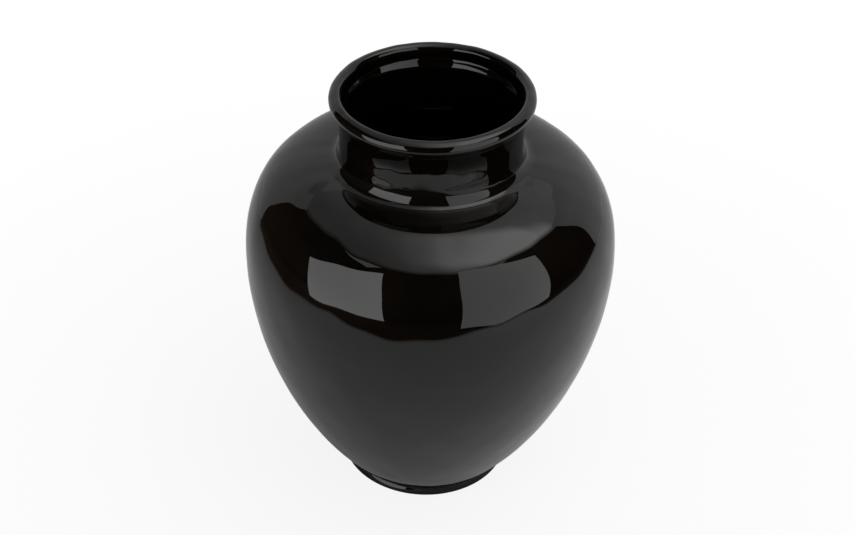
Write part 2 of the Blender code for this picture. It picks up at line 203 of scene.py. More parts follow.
@dataclass(frozen=True)
class VaseForm:
    """Finished sizes of the vase over its glaze in metres, and the lines that they draw."""

    foot_height: float
    belly_radius: float
    total_height: float
    foot_radius: float = 0.0598
    foot_top_radius: float = 0.0584
    lower_body_height: float = 0.1732
    upper_body_height: float = 0.0726
    neck_radius: float = 0.0591
    cove_width: float = 0.0090
    cove_height: float = 0.0130
    neck_flare: float = 0.0028
    lip_rise: float = 0.0064
    lip_overhang: float = 0.0065
    lip_roll_radius: float = 0.0051
    lip_crest_radius: float = 0.0026
    lip_bevel_slope: float = math.radians(50.0)
    lip_bevel_inset: float = 0.0035
    lip_bevel_drop: float = 0.0055
    lip_bevel_pull: float = 0.0022
    crease_reach: float = 0.0008
    foot_flare_angle: float = math.radians(49.6)
    foot_flare_pull: float = 0.0634
    belly_pull_down: float = 0.0579
    belly_pull_up: float = 0.0492
    shoulder_pull: float = 0.0323
    shoulder_slope: float = math.radians(3.9)
    cove_pull_out: float = 0.0062
    cove_pull_up: float = 0.0092
    neck_taper: float = math.radians(1.5)
    neck_pull_up: float = 0.0130
    neck_flare_angle: float = math.radians(74.0)
    neck_flare_pull: float = 0.0080
    lip_roll_start: float = math.radians(-60.0)
    full_wall: float = 0.0062
    groove_slope: float = math.radians(85.0)
    funnel_inset: float = 0.0047
    funnel_drop: float = 0.0107
    funnel_slope: float = math.radians(57.0)
    funnel_pull: float = 0.0015
    throat_top_pull: float = 0.0045
    throat_pull: float = 0.0180
    floor_height: float = 0.0156
    floor_corner_rise: float = 0.0120
    floor_pull: float = 0.0295

    @property
    def belly_height(self) -> float:
        """Height of the widest part."""
        return self.foot_height + self.lower_body_height

    @property
    def shoulder(self) -> tuple[float, float]:
        """Where the shoulder turns into the cove under the neck."""
        return self.neck_radius + self.cove_width, self.belly_height + self.upper_body_height

    @property
    def waist(self) -> tuple[float, float]:
        """Waist of the neck, where its wall rises from the cove."""
        return self.neck_radius, self.shoulder[1] + self.cove_height

    @property
    def lip_centre(self) -> tuple[float, float]:
        """Centre of the rolled lip's section."""
        return (
            self.neck_radius + self.lip_overhang - self.lip_roll_radius,
            self.total_height - self.lip_roll_radius,
        )

    @property
    def taper(self) -> np.ndarray:
        """Direction of the neck wall where it rises from the cove."""
        return np.array((-math.sin(self.neck_taper), math.cos(self.neck_taper)))

    @property
    def neck_top(self) -> tuple[float, float]:
        """Crease where the neck meets the lip."""
        return self.neck_radius + self.neck_flare, self.lip_centre[1] - self.lip_rise

    @property
    def groove(self) -> tuple[float, float]:
        """Faint groove inside, where the lip's bevel meets the throat."""
        return self.lip_centre[0] - self.lip_bevel_inset, self.total_height - self.lip_bevel_drop

    def body(self) -> Line:
        """Sloping foot wall, swelling body and cove, from the standing face up to the waist of the neck.

        Returns:
            A straight line and three cubics joined end to end, with the crease above the foot eased.
        """
        crease = np.array((self.foot_top_radius, self.foot_height))
        foot = np.linspace((self.foot_radius, 0.0), crease, 9)
        flare = self.foot_flare_pull * np.array(
            (math.cos(self.foot_flare_angle), math.sin(self.foot_flare_angle))
        )
        belly = np.array((self.belly_radius, self.belly_height))
        lower = bezier(crease, crease + flare, belly - (0.0, self.belly_pull_down), belly, 60)
        slope = np.array((math.cos(self.shoulder_slope), -math.sin(self.shoulder_slope)))
        shoulder = np.array(self.shoulder)
        upper = bezier(
            belly,
            belly + (0.0, self.belly_pull_up),
            shoulder + self.shoulder_pull * slope,
            shoulder,
            60,
        )
        waist = np.array(self.waist)
        cove = bezier(
            shoulder,
            shoulder - self.cove_pull_out * slope,
            waist - self.cove_pull_up * self.taper,
            waist,
            28,
        )
        return np.vstack((eased(foot, lower, self.crease_reach, 6), upper[1:], cove[1:]))

    def neck_and_lip(self) -> Line:
        """Neck wall that narrows and then flares, and the rolled lip up to its crest.

        Returns:
            A cubic and an arc, joined at an eased crease.
        """
        waist = np.array(self.waist)
        top = np.array(self.neck_top)
        lean = np.array((math.cos(self.neck_flare_angle), math.sin(self.neck_flare_angle)))
        wall = bezier(
            waist, waist + self.neck_pull_up * self.taper, top - self.neck_flare_pull * lean, top, 28
        )
        roll = arc(self.lip_centre, self.lip_roll_radius, self.lip_roll_start, math.pi / 2, 32)
        tuck = np.linspace(top, roll[0], 4)
        return eased(wall, np.vstack((tuck, roll[1:])), self.crease_reach, 6)

    def throat(self, end: Line) -> Line:
        """Inner side of the lip and neck: rounded crest, bevel, groove, funnel and upright wall.

        Args:
            end: point of the inner wall at the waist.

        Returns:
            An arc and three cubics, each starting in the direction in which the last one ends.
        """
        crest_centre = (self.lip_centre[0], self.total_height - self.lip_crest_radius)
        quarter = math.pi / 2
        crest = arc(crest_centre, self.lip_crest_radius, quarter, quarter + self.lip_bevel_slope, 10)
        bevel, groove, funnel = (
            -np.array((math.cos(slope), math.sin(slope)))
            for slope in (self.lip_bevel_slope, self.groove_slope, self.funnel_slope)
        )
        groove_point = np.array(self.groove)
        funnel_point = np.array(
            (self.lip_centre[0] - self.funnel_inset, self.total_height - self.funnel_drop)
        )
        pull = self.lip_bevel_pull
        inner_lip = bezier(
            crest[-1], crest[-1] + pull * bevel, groove_point - pull * groove, groove_point, 14
        )
        flare = bezier(
            groove_point,
            groove_point + pull * groove,
            funnel_point - self.funnel_pull * funnel,
            funnel_point,
            12,
        )
        wall = bezier(
            funnel_point,
            funnel_point + self.throat_top_pull * funnel,
            end + (0.0, self.throat_pull),
            end,
            28,
        )
        return np.vstack((crest, inner_lip[1:], flare[1:], wall[1:]))

    def lines(self, depth: float = 0.0) -> tuple[Line, Line]:
        """The finished surface, or a surface at a depth below it.

        Args:
            depth: distance into the clay.

        Returns:
            The line up the outside to the lip's crest, and the line from there down inside to the axis.
        """
        body = self.body()
        outside = np.vstack((body, self.neck_and_lip()[1:]))
        hollow = inset(body, self.full_wall)[::-1]
        wall = between(hollow, self.floor_height + self.floor_corner_rise, hollow[0, 1])[::2]
        run = wall[-1] - wall[-2]
        corner = wall[-1] + run * (self.floor_height - wall[-1, 1]) / run[1]
        floor_centre = (0.0, self.floor_height)
        floor = bezier(wall[-1], corner, (self.floor_pull, self.floor_height), floor_centre, 14)
        inside = np.vstack((self.throat(hollow[0]), wall[1:], floor[1:]))
        moved = inset(np.vstack((outside, inside[1:])), depth)
        moved[-1, 0] = 0.0
        return moved[: len(outside)], moved[len(outside) - 1 :]


@dataclass(frozen=True)
class PottersHand:
    """How the pot departs from a true form: a neck that leans, faint throwing marks and a worn foot.

    A lump wave is its share of the depth, its count round the pot, its rate of turning upwards and its start.
    """

    lean_low: float = 0.220
    lean_high: float = 0.262
    tilt_right: float = math.radians(1.15)
    tilt_back: float = math.radians(0.6)
    shift: tuple[float, float] = (-0.00144, -0.0029)
    swell_centre: float = 0.150
    ring_pitch: float = 0.0135
    ring_depth: float = 0.000012
    lump_depth: float = 0.000055
    lump_waves: tuple[tuple[float, int, float, float], ...] = (
        (1.0, 13, 61.0, 0.7),
        (1.0, 9, -118.0, 2.1),
        (0.7, 21, 139.0, 0.0),
        (0.7, 4, 171.0, 4.0),
        (0.5, 31, 92.0, 1.1),
        (0.4, 26, -214.0, 0.0),
    )
    foot_fade: float = 0.030
    worn_turn: float = math.radians(-118.0)
    worn_half_width: float = math.radians(46.0)
    worn_height: float = 0.0052
    worn_depth: float = 0.0010

    def shape(self, points: np.ndarray) -> np.ndarray:
        """Points of the true form carried to where the thrown pot has them.

        A smooth step in height tilts and shifts what is above the shoulder. Each point then moves along
        the line from the middle of the pot by small waves: rings in height, and lumps in height and angle.
        A worn place in the foot moves inwards by a smooth bump in angle times the square of one in height.

        Args:
            points: an array of positions, one row each.

        Returns:
            The moved positions.
        """
        x, y, z = points.T
        rise = np.clip((z - self.lean_low) / (self.lean_high - self.lean_low), 0.0, 1.0)
        share = rise * rise * (3 - 2 * rise)
        tilt = share * (math.sin(self.tilt_right) * x + math.sin(self.tilt_back) * y)
        turn = np.arctan2(y, x)
        ring = self.ring_depth * np.sin(2 * math.pi * z / self.ring_pitch + 1.3 * np.sin(turn))
        lump = self.lump_depth * sum(
            part * np.sin(count * turn + rate * z + start) for part, count, rate, start in self.lump_waves
        )
        away = points - (0.0, 0.0, self.swell_centre)
        away = away / np.maximum(np.linalg.norm(away, axis=1), MERGE_DISTANCE)[:, None]
        fade = np.clip(z / self.foot_fade, 0.0, 1.0)
        aside = np.clip(1 - np.abs(turn - self.worn_turn) / self.worn_half_width, 0.0, 1.0)
        climb = np.clip(z / self.worn_height, 0.0, 1.0) * np.clip(2 - z / self.worn_height, 0.0, 1.0)
        worn = self.worn_depth * aside * aside * (3 - 2 * aside) * climb**2
        lean = np.column_stack((share * self.shift[0], share * self.shift[1], tilt))
        inwards = -np.column_stack((worn * np.cos(turn), worn * np.sin(turn), np.zeros_like(turn)))
        return points + lean + inwards + ((ring + lump) * fade)[:, None] * away


def turned_mesh(name: str, outline: Line, turns: int, hand: PottersHand) -> bpy.types.Mesh:
    """A closed outline carried round Z: point (i, j) is radius i at angle j, at height i.

    Args:
        name: name of the mesh.
        outline: closed outline of radius and height, open only along the axis.
        turns: number of steps round Z.
        hand: departures from the true form.

    Returns:
        A closed mesh with its faces outwards and one vertex at each pole.
    """
    radius, height = outline.T
    area = np.sum(radius * np.roll(height, -1) - np.roll(radius, -1) * height)
    outline = outline[::-1] if area > 0 else outline
    axis_rows = np.flatnonzero(outline[:, 0] < MERGE_DISTANCE)
    if len(axis_rows) == 2:
        neighbours = axis_rows[1] == axis_rows[0] + 1
        outline = np.roll(outline, -axis_rows[1 if neighbours else 0], axis=0)
    radius, height = outline.T
    pole = radius < MERGE_DISTANCE
    angle = np.linspace(0.0, 2 * math.pi, turns, endpoint=False)
    grid = np.stack(
        (
            radius[:, None] * np.cos(angle),
            radius[:, None] * np.sin(angle),
            np.repeat(height[:, None], turns, axis=1),
        ),
        axis=-1,
    )
    keep = np.ones((len(outline), turns), bool)
    keep[pole, 1:] = False
    index = np.cumsum(keep.ravel()).reshape(keep.shape) - 1
    index[pole] = index[pole, :1]
    rows = np.arange(len(outline) - (1 if pole.any() else 0))
    following = (rows + 1) % len(outline)
    here, below = index[rows], index[following]
    quads = np.stack((here, below, np.roll(below, -1, axis=1), np.roll(here, -1, axis=1)), axis=-1)
    fan_top, fan_foot = pole[rows], pole[following]
    faces = quads[~(fan_top | fan_foot)].reshape(-1, 4).tolist()
    faces += quads[fan_top][:, :, [0, 1, 2]].reshape(-1, 3).tolist()
    faces += quads[fan_foot][:, :, [0, 1, 3]].reshape(-1, 3).tolist()
    mesh = bpy.data.meshes.new(name)
    mesh.from_pydata(hand.shape(grid[keep]).tolist(), [], faces)
    mesh.shade_smooth()
    mesh.set_sharp_from_angle(angle=math.radians(50.0))
    return mesh


class NodeBench:
    """A node tree with short calls to add and join nodes."""

    def __init__(self, tree: bpy.types.NodeTree) -> None:
        """Keep the tree and empty it."""
        self.tree = tree
        tree.nodes.clear()

    def add(self, kind: str, values: dict | None = None, **settings: object) -> bpy.types.Node:
        """Add a node.

        Args:
            kind: type name of the node.
            values: socket name or number to a constant, or to a socket that is linked to it.
            settings: properties of the node.

        Returns:
            The new node.
        """
        node = self.tree.nodes.new(kind)
        for name, value in settings.items():
            setattr(node, name, value)
        for socket, value in (values or {}).items():
            if isinstance(value, bpy.types.NodeSocket):
                self.tree.links.new(value, node.inputs[socket])
            else:
                node.inputs[socket].default_value = value
        return node

    def blend(self, factor: bpy.types.NodeSocket, first: tuple, second: tuple) -> bpy.types.NodeSocket:
        """Colour that goes from the first to the second with the factor."""
        values = {0: factor, 6: (*first, 1.0), 7: (*second, 1.0)}
        return self.add("ShaderNodeMix", values, data_type="RGBA").outputs[2]

    def maths(self, operation: str, *values: object) -> bpy.types.NodeSocket:
        """Result of a Math node on up to three sockets or constants."""
        return self.add("ShaderNodeMath", dict(enumerate(values)), operation=operation).outputs[0]

    def noise(self, place: bpy.types.NodeSocket, scale: object, detail: float) -> bpy.types.NodeSocket:
        """Soft noise from nought to one at a place."""
        values = {"Vector": place, "Scale": scale, "Detail": detail}
        return self.add("ShaderNodeTexNoise", values).outputs["Fac"]

    def ramp(
        self,
        value: bpy.types.NodeSocket,
        low: object,
        high: object,
        first: float,
        last: float,
        smooth: bool = False,
    ) -> bpy.types.NodeSocket:
        """Number that goes from one value to another with a socket, and is held beyond both ends.

        Args:
            value: the socket.
            low: where the change starts.
            high: where it ends.
            first: number up to there.
            last: number from there on.
            smooth: whether the change starts and ends gently.

        Returns:
            The socket of the number.
        """
        numbers = {"Value": value, "From Min": low, "From Max": high, "To Min": first, "To Max": last}
        kind = "SMOOTHSTEP" if smooth else "LINEAR"
        return self.add("ShaderNodeMapRange", numbers, interpolation_type=kind).outputs["Result"]


def grey(value: float) -> tuple[float, float, float, float]:
    """An opaque grey."""
    return value, value, value, 1.0


def new_material(name: str) -> tuple[bpy.types.Material, NodeBench]:
    """A material with an empty node tree.

    Args:
        name: name of the material.

    Returns:
        The material, and the bench of its tree.
    """
    material = bpy.data.materials.new(name)
    material.use_nodes = True
    return material, NodeBench(material.node_tree)


def group_with(
    name: str, inputs: dict[str, tuple[str, float | None]], outputs: dict[str, str]
) -> tuple[bpy.types.NodeTree, NodeBench]:
    """A shader node group with named sockets.

    Args:
        name: name of the group.
        inputs: socket name to its type and default.
        outputs: socket name to its type.

    Returns:
        The group and its bench.
    """
    tree = bpy.data.node_groups.new(name, "ShaderNodeTree")
    for label, (kind, value) in inputs.items():
        socket = tree.interface.new_socket(label, in_out="INPUT", socket_type=kind)
        if value is not None:
            socket.default_value = value
    for label, kind in outputs.items():
        tree.interface.new_socket(label, in_out="OUTPUT", socket_type=kind)
    return tree, NodeBench(tree)


def fired_glaze_group() -> bpy.types.NodeTree:
    """Surface of a fired gloss glaze: slow ripple, fine peel, rare pits and soft clouds of thickness.

    Returns:
        The group, which gives a height, a cloud and a mask of the pits.
    """
    tree, bench = group_with(
        "fired_glaze",
        {
            "Vector": ("NodeSocketVector", None),
            "Ripple Scale": ("NodeSocketFloat", 30.0),
            "Peel Scale": ("NodeSocketFloat", 260.0),
            "Pit Scale": ("NodeSocketFloat", 90.0),
            "Pit Size": ("NodeSocketFloat", 0.06),
        },
        {"Height": "NodeSocketFloat", "Cloud": "NodeSocketFloat", "Pit": "NodeSocketFloat"},
    )
    entry = bench.add("NodeGroupInput").outputs
    place = entry["Vector"]
    ripple = bench.noise(place, entry["Ripple Scale"], 1.0)
    peel = bench.noise(place, entry["Peel Scale"], 1.0)
    cloud = bench.noise(place, 14.0, 4.0)
    cells = bench.add("ShaderNodeTexVoronoi", {"Vector": place, "Scale": entry["Pit Scale"]})
    lone = bench.maths("GREATER_THAN", cells.outputs["Color"], 0.86)
    size = bench.maths("MULTIPLY", lone, entry["Pit Size"])
    near = bench.ramp(cells.outputs["Distance"], 0.0, size, 1.0, 0.0, smooth=True)
    pit = bench.maths("MULTIPLY", near, lone)
    fine = bench.maths("MULTIPLY_ADD", peel, 0.05, ripple)
    height = bench.maths("MULTIPLY_ADD", pit, -0.5, fine)
    bench.add("NodeGroupOutput", {"Height": height, "Cloud": cloud, "Pit": pit})
    return tree


def fired_grain_group() -> bpy.types.NodeTree:
    """Surface of bare fired clay: fine grain, iron specks and soft clouds of the kiln's flame.

    Returns:
        The group, which gives a height, a cloud and a mask of the specks.
    """
    tree, bench = group_with(
        "fired_grain",
        {
            "Vector": ("NodeSocketVector", None),
            "Grain Scale": ("NodeSocketFloat", 900.0),
            "Speck Scale": ("NodeSocketFloat", 420.0),
        },
        {"Height": "NodeSocketFloat", "Cloud": "NodeSocketFloat", "Speck": "NodeSocketFloat"},
    )
    entry = bench.add("NodeGroupInput").outputs
    place = entry["Vector"]
    grain = bench.noise(place, entry["Grain Scale"], 5.0)
    cloud = bench.noise(place, 35.0, 5.0)
    cells = bench.add("ShaderNodeTexVoronoi", {"Vector": place, "Scale": entry["Speck Scale"]})
    near = bench.ramp(cells.outputs["Distance"], 0.12, 0.28, 1.0, 0.0)
    lone = bench.maths("GREATER_THAN", cells.outputs["Color"], 0.7)
    speck = bench.maths("MULTIPLY", near, lone)
    bench.add("NodeGroupOutput", {"Height": grain, "Cloud": cloud, "Speck": speck})
    return tree


@dataclass(frozen=True)
class GlazeFinish:
    """Black gloss glaze, a little brown where it runs thin."""

    name: str
    thick_colour: tuple[float, float, float] = (0.0018, 0.0013, 0.0009)
    thin_colour: tuple[float, float, float] = (0.0045, 0.0031, 0.0020)
    smooth: float = 0.015
    dull: float = 0.035
    ior: float = 1.45
    ripple_scale: float = 34.0
    peel_scale: float = 300.0
    pit_scale: float = 95.0
    pit_size: float = 0.05
    ripple_height: float = 0.00006

    def material(self, group: bpy.types.NodeTree) -> bpy.types.Material:
        """Material of this glaze.

        Args:
            group: node group of the fired glaze's surface.

        Returns:
            The material.
        """
        material, bench = new_material(self.name)
        place = bench.add("ShaderNodeTexCoord")
        surface = bench.add(
            "ShaderNodeGroup",
            {
                "Vector": place.outputs["Object"],
                "Ripple Scale": self.ripple_scale,
                "Peel Scale": self.peel_scale,
                "Pit Scale": self.pit_scale,
                "Pit Size": self.pit_size,
            },
            node_tree=group,
        )
        thin = bench.ramp(surface.outputs["Cloud"], 0.45, 0.75, 0.0, 1.0)
        gloss = bench.ramp(surface.outputs["Cloud"], 0.3, 0.8, self.smooth, self.dull)
        bump = bench.add(
            "ShaderNodeBump",
            {"Strength": 1.0, "Distance": self.ripple_height, "Height": surface.outputs["Height"]},
        )
        shader = bench.add(
            "ShaderNodeBsdfPrincipled",
            {
                "Base Color": bench.blend(thin, self.thick_colour, self.thin_colour),
                "Roughness": gloss,
                "IOR": self.ior,
                "Normal": bump.outputs["Normal"],
            },
        )
        bench.add("ShaderNodeOutputMaterial", {"Surface": shader.outputs["BSDF"]})
        return material


@dataclass(frozen=True)
class ClayFinish:
    """Bare fired clay or slip with grain and iron specks."""

    name: str
    pale_colour: tuple[float, float, float]
    warm_colour: tuple[float, float, float]
    speck_colour: tuple[float, float, float] = (0.06, 0.04, 0.03)
    roughness: float = 0.82
    grain_scale: float = 900.0
    speck_scale: float = 420.0
    grain_height: float = 0.00015

    def material(self, group: bpy.types.NodeTree) -> bpy.types.Material:
        """Material of this clay.

        Args:
            group: node group of the fired clay's grain.

        Returns:
            The material.
        """
        material, bench = new_material(self.name)
        place = bench.add("ShaderNodeTexCoord")
        surface = bench.add(
            "ShaderNodeGroup",
            {
                "Vector": place.outputs["Object"],
                "Grain Scale": self.grain_scale,
                "Speck Scale": self.speck_scale,
            },
            node_tree=group,
        )
        ground = bench.blend(surface.outputs["Cloud"], self.pale_colour, self.warm_colour)
        specked = bench.add(
            "ShaderNodeMix",
            {0: surface.outputs["Speck"], 6: ground, 7: (*self.speck_colour, 1.0)},
            data_type="RGBA",
        )
        low, high = self.roughness - 0.08, self.roughness + 0.08
        rough = bench.ramp(surface.outputs["Height"], 0.3, 0.7, low, high)
        bump = bench.add(
            "ShaderNodeBump",
            {"Strength": 1.0, "Distance": self.grain_height, "Height": surface.outputs["Height"]},
        )
        shader = bench.add(
            "ShaderNodeBsdfPrincipled",
            {"Base Color": specked.outputs[2], "Roughness": rough, "Normal": bump.outputs["Normal"]},
        )
        bench.add("ShaderNodeOutputMaterial", {"Surface": shader.outputs["BSDF"]})
        return material


def set_piece(
    node: str,
    outline: list | Line,
    turns: int,
    hand: PottersHand,
    finish: bpy.types.Material,
) -> bpy.types.Object:
    """Turn a piece, dress it and let it stand for a CAD node.

    Args:
        node: CAD node that the piece replaces.
        outline: its outline.
        turns: number of steps round Z.
        hand: departures from the true form.
        finish: its material.

    Returns:
        The new object.
    """
    name = "thrown_" + node
    mesh = turned_mesh(name, np.asarray(outline, float), turns, hand)
    mesh.materials.append(finish)
    piece = bpy.data.objects.new(name, mesh)
    bpy.context.scene.collection.objects.link(piece)
    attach(piece, BODY)
    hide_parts(node)
    LOG.info("%s: %d faces", name, len(mesh.polygons))
    return piece


@dataclass
class Lap:
    """A joint in which one half of the wall's thickness steps up or down past the other half."""

    outer_line: Line
    inner_line: Line
    outer_height: float
    inner_height: float
    clearance: float
    slip: float

    def face(self, shift: float) -> list[tuple[float, float]]:
        """The stepped face at a distance above the lower piece.

        Args:
            shift: distance from the lower piece's own face.

        Returns:
            Four points from the outer line to the inner one.
        """
        outer, inner = self.outer_height + shift, self.inner_height + shift
        outer_radius = radius_at(self.outer_line, self.outer_height)
        inner_radius = radius_at(self.inner_line, self.inner_height)
        side = self.inner_height - self.outer_height
        step = (outer_radius + inner_radius) / 2 + math.copysign(shift, side)
        return [
            (radius_at(self.outer_line, outer), outer),
            (step, outer),
            (step, inner),
            (radius_at(self.inner_line, inner), inner),
        ]

    def top_of_lower(self) -> list[tuple[float, float]]:
        """Face of the piece below."""
        return self.face(0.0)

    def bottom_of_upper(self) -> list[tuple[float, float]]:
        """Face of the piece above."""
        return self.face(self.slip + 2 * self.clearance)

    def seam(self) -> list[tuple[float, float]]:
        """Outline of the slip between the two faces.

        Returns:
            Points along the lower face, and back along the upper one.
        """
        lower, upper = self.face(self.clearance), self.face(self.clearance + self.slip)
        outer_edge = between(climbing(self.outer_line), lower[0][1], upper[0][1])
        inner_edge = between(climbing(self.inner_line), lower[-1][1], upper[-1][1])
        return [*lower, *inner_edge[1:-1], *upper[::-1], *outer_edge[-2:0:-1]]


@dataclass
class VaseBody:
    """Clay sections, slip seams and glaze coats of the vase, with the sizes of its joints."""

    form: VaseForm
    hand: PottersHand
    glaze_thickness: float = 0.0006
    glaze_stop: float = 0.0005
    slip_thickness: float = 0.0006
    clearance: float = 0.0003
    lap_depth: float = 0.0030
    belly_joint_below_belly: float = 0.0250
    neck_joint_rise: float = 0.0030
    foot_ring_width: float = 0.0085
    foot_edge: float = 0.0008
    skin_turns: int = 224
    clay_turns: int = 112
    clay: tuple[Line, Line] = field(init=False)
    belly_lap: Lap = field(init=False)
    neck_lap: Lap = field(init=False)

    def __post_init__(self) -> None:
        """Work out the clay's own lines and its two lapped joints."""
        self.clay = self.form.lines(self.coat)
        belly = self.form.belly_height - self.belly_joint_below_belly
        neck = self.form.shoulder[1] + self.neck_joint_rise
        self.belly_lap = self.lap(belly, belly + self.lap_depth)
        self.neck_lap = self.lap(neck, neck - self.lap_depth)

    def lap(self, outer_height: float, inner_height: float) -> Lap:
        """A lapped joint in the clay wall."""
        return Lap(*self.clay, outer_height, inner_height, self.clearance, self.slip_thickness)

    @property
    def coat(self) -> float:
        """Depth of the clay below the finished surface."""
        return self.glaze_thickness + self.clearance

    @property
    def seam(self) -> float:
        """Distance between two luted clay faces."""
        return self.slip_thickness + 2 * self.clearance

    @property
    def floor_underside(self) -> float:
        """Height of the body's underside, above the foot ring and its slip."""
        return self.form.foot_height + self.seam

    @property
    def ring_inner_radius(self) -> float:
        """Inner radius of the foot ring."""
        return self.form.foot_radius - self.coat - self.foot_ring_width

    @property
    def rim_joint(self) -> float:
        """Height of the collar's top face, under the lip's slip."""
        return self.form.neck_top[1] - self.seam

    def clay_outlines(self) -> dict[str, list]:
        """Outlines of the five clay sections.

        Returns:
            CAD node name to outline.
        """
        outside, inside = self.clay
        foot_top = self.form.foot_height
        ring = self.ring_inner_radius
        belly_low, belly_high = self.belly_lap.top_of_lower(), self.belly_lap.bottom_of_upper()
        neck_low, neck_high = self.neck_lap.top_of_lower(), self.neck_lap.bottom_of_upper()
        lip_foot, crest = self.form.neck_top[1], outside[-1, 1]
        return {
            "foot_ring": [
                (ring, 0.0),
                (self.form.foot_radius - self.coat - self.foot_edge, 0.0),
                *between(outside, self.foot_edge, foot_top),
                (ring, foot_top),
            ],
            "lower_body": [
                (0.0, self.floor_underside),
                *between(outside, self.floor_underside, belly_low[0][1])[:-1],
                *belly_low,
                *between(inside, inside[-1, 1], belly_low[-1][1])[1:],
            ],
            "upper_body": [
                *belly_high[::-1],
                *between(outside, belly_high[0][1], neck_low[0][1])[1:-1],
                *neck_low,
                *between(inside, belly_high[-1][1], neck_low[-1][1])[1:-1],
            ],
            "neck_collar": [
                *neck_high[::-1],
                *between(outside, neck_high[0][1], self.rim_joint)[1:],
                *between(inside, neck_high[-1][1], self.rim_joint)[:-1],
            ],
            "rim_roll": [
                *between(outside, lip_foot, crest)[:-1],
                *between(inside, lip_foot, crest),
            ],
        }

    def slip_outlines(self) -> dict[str, list]:
        """Outlines of the four seams of slip.

        Returns:
            CAD node name to outline.
        """
        outside, inside = self.clay
        foot_low = self.form.foot_height + self.clearance
        foot_high = foot_low + self.slip_thickness
        rim_low = self.rim_joint + self.clearance
        rim_high = rim_low + self.slip_thickness
        return {
            "foot_slip_seam": [
                (self.ring_inner_radius, foot_low),
                *between(outside, foot_low, foot_high),
                (self.ring_inner_radius, foot_high),
            ],
            "belly_slip_seam": self.belly_lap.seam(),
            "neck_slip_seam": self.neck_lap.seam(),
            "rim_slip_seam": [*between(outside, rim_low, rim_high), *between(inside, rim_low, rim_high)],
        }

    def glaze_outlines(self) -> dict[str, list]:
        """Outlines of the three coats of glaze.

        Returns:
            CAD node name to outline.
        """
        outside, inside = self.form.lines()
        back_outside, back_inside = self.form.lines(self.glaze_thickness)
        edge = self.form.groove[1]
        liner_top = edge - self.clearance
        skin = [
            *between(outside, self.glaze_stop, outside[-1, 1]),
            *between(inside, edge, inside[0, 1])[1:],
        ]
        back = [
            *between(back_outside, self.glaze_stop, back_outside[-1, 1]),
            *between(back_inside, edge, back_inside[0, 1])[1:],
        ]
        liner = between(inside, inside[-1, 1], liner_top)
        liner_back = between(back_inside, back_inside[-1, 1], liner_top)
        outer_radius = self.ring_inner_radius - self.clearance
        inner_radius = outer_radius - self.glaze_thickness
        top = self.floor_underside - self.clearance
        return {
            "outer_glaze": [*skin, *back[::-1]],
            "liner_glaze": [*liner, *liner_back[::-1]],
            "base_glaze": [
                (0.0, top),
                (outer_radius, top),
                (outer_radius, self.glaze_stop),
                (inner_radius, self.glaze_stop),
                (inner_radius, top - self.glaze_thickness),
                (0.0, top - self.glaze_thickness),
            ],
        }

    def build(self) -> None:
        """Make, dress and place every piece."""
        grain, glaze = fired_grain_group(), fired_glaze_group()
        clay = ClayFinish("bare_stoneware", (0.33, 0.27, 0.21), (0.24, 0.17, 0.12)).material(grain)
        slip = ClayFinish("luting_slip", (0.42, 0.36, 0.29), (0.33, 0.27, 0.21)).material(grain)
        coats = {
            "outer_glaze": GlazeFinish("black_gloss_glaze"),
            "liner_glaze": GlazeFinish(
                "black_liner_glaze", (0.0008, 0.0006, 0.0004), (0.0020, 0.0013, 0.0008), pit_scale=70.0
            ),
            "base_glaze": GlazeFinish("black_base_glaze", smooth=0.06, dull=0.16, ripple_scale=60.0),
        }
        for node, outline in self.clay_outlines().items():
            set_piece(node, outline, self.clay_turns, self.hand, clay)
        for node, outline in self.slip_outlines().items():
            set_piece(node, outline, self.clay_turns, self.hand, slip)
        for node, outline in self.glaze_outlines().items():
            finish = coats[node].material(glaze)
            set_piece(node, outline, self.skin_turns, self.hand, finish)


@dataclass(frozen=True)
class Softbox:
    """A lit panel that stands in front of the vase and faces it.

    Its corners are places in metres, from the low outer one over the two high ones to the low inner one.
    """

    name: str
    corners: tuple[tuple[float, float, float], ...]
    inner_radiance: float
    outer_radiance: float


